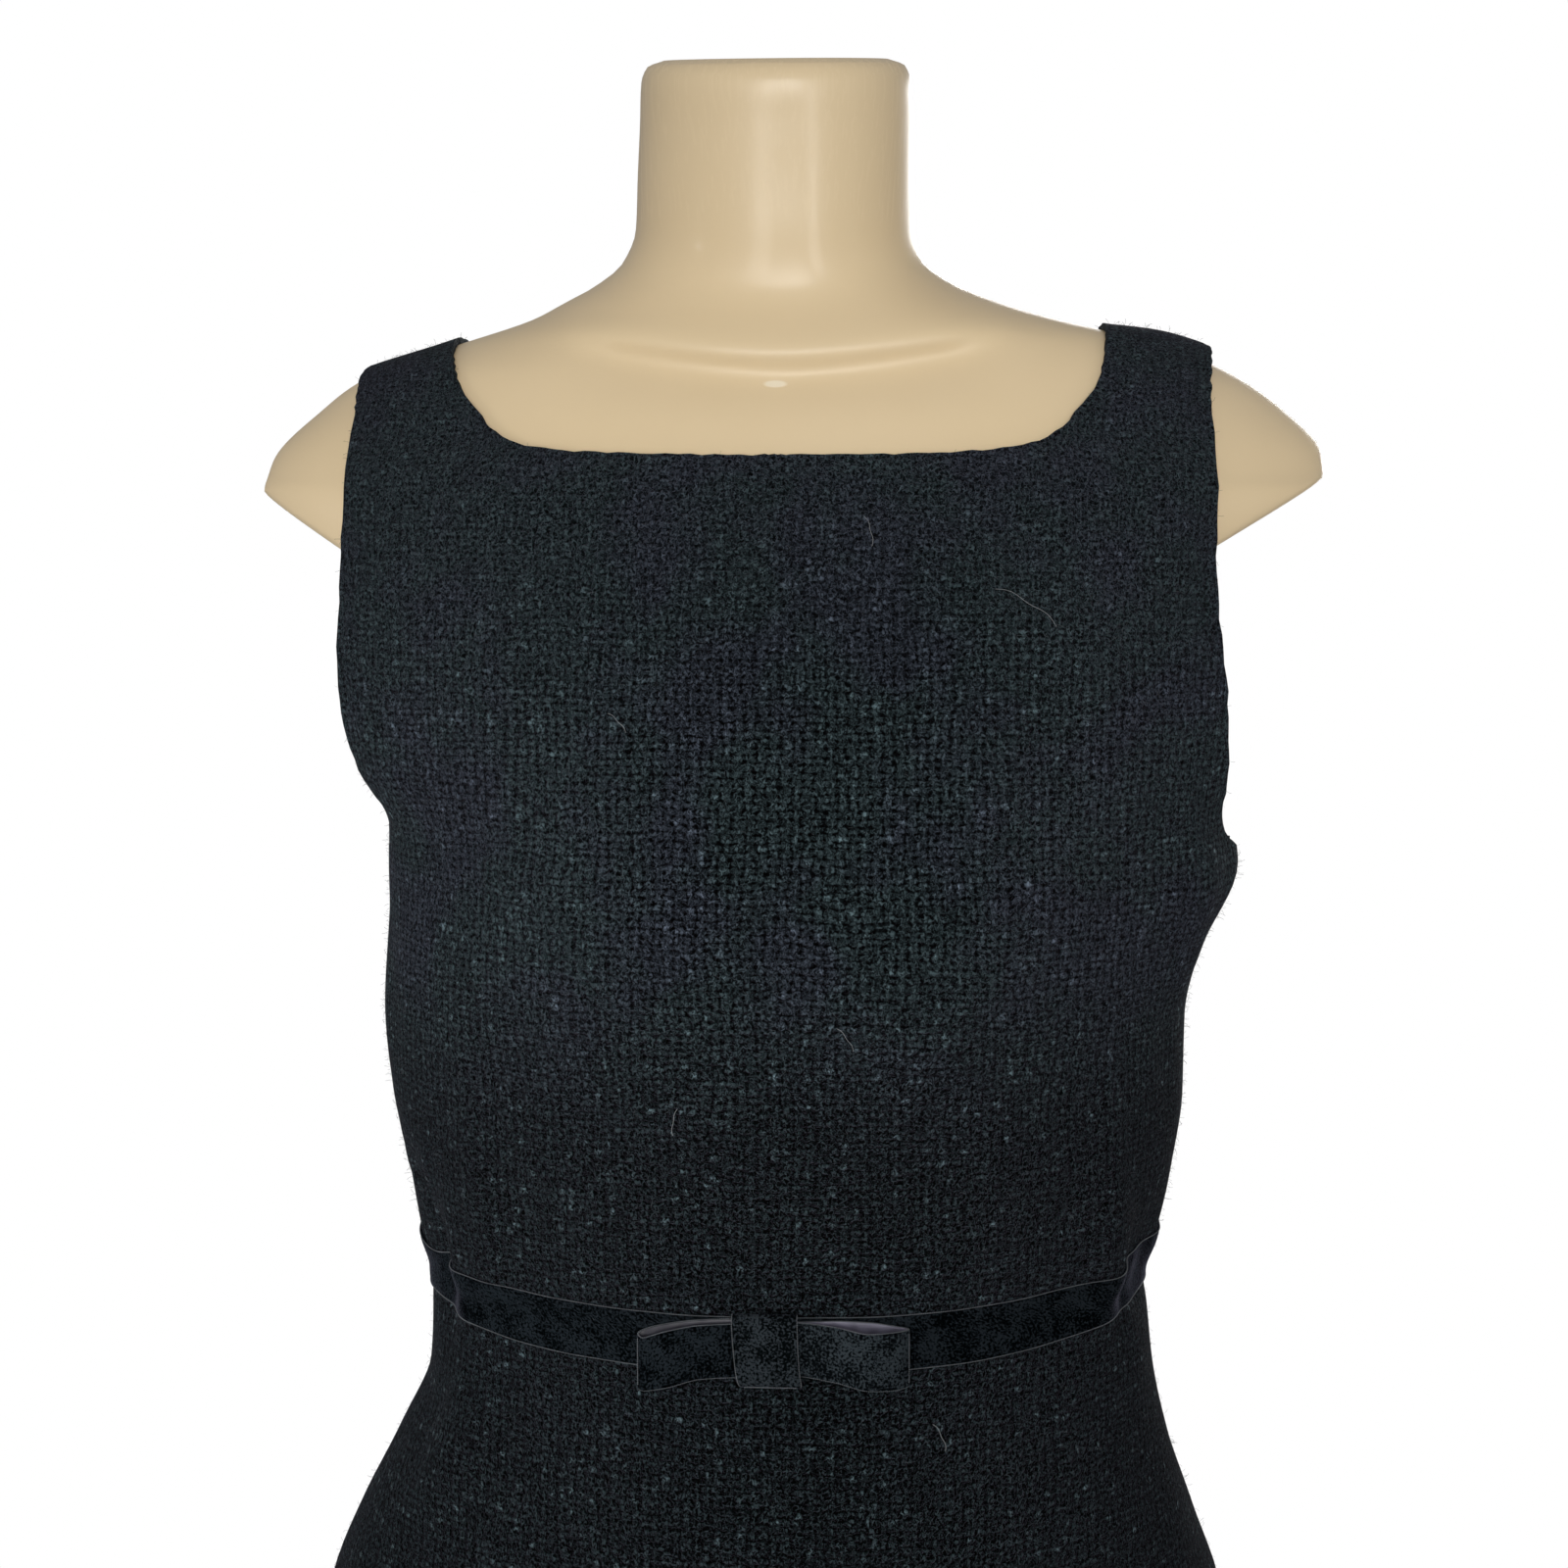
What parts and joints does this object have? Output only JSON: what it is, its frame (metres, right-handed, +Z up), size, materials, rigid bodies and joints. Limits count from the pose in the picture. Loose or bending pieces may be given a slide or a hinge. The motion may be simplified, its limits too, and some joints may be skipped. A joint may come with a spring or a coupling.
{
  "type": "sheath dress on a dress form",
  "caption": "Sleeveless sheath dress in dark basket-weave boucle with a velvet waist ribbon and flat bow, zipped at the back, shown on a headless form with a round stand.",
  "frame": {"origin": "on the floor under the middle of the form, at the centre of the round base's underside", "axes": "+Z up, -Y to the front of the dress, +X to the right as seen from the front"},
  "size_m": [0.4359, 0.36, 1.5495],
  "materials": {
    "boucle": "matte, rough basket weave of thick yarn",
    "velvet": "short soft pile with a faint sheen",
    "form_plastic": "cream, satin",
    "stand_steel": "satin",
    "zip_enamel": "satin enamel"
  },
  "bodies": {
    "dress": {"bodice_front": "boucle", "bodice_back_left": "boucle", "bodice_back_right": "boucle", "skirt_front": "boucle", "skirt_back_left": "boucle", "skirt_back_right": "boucle", "waist_ribbon": "velvet", "bow_loop_left": "velvet", "bow_loop_right": "velvet", "bow_tab": "velvet", "zip_slider": "zip_enamel", "form_torso": "form_plastic", "stand_pole": "stand_steel", "stand_base": "stand_steel"},
    "pull_tab": {"zip_pull_tab": "zip_enamel"}
  },
  "joints": [
    {"name": "pull_tab_hinge", "type": "hinge", "parent": "dress", "child": "pull_tab", "pos_m": [0, 0.09645, 1.39361], "axis": [1, 0, 0], "range_deg": [0, 120]}
  ]
}
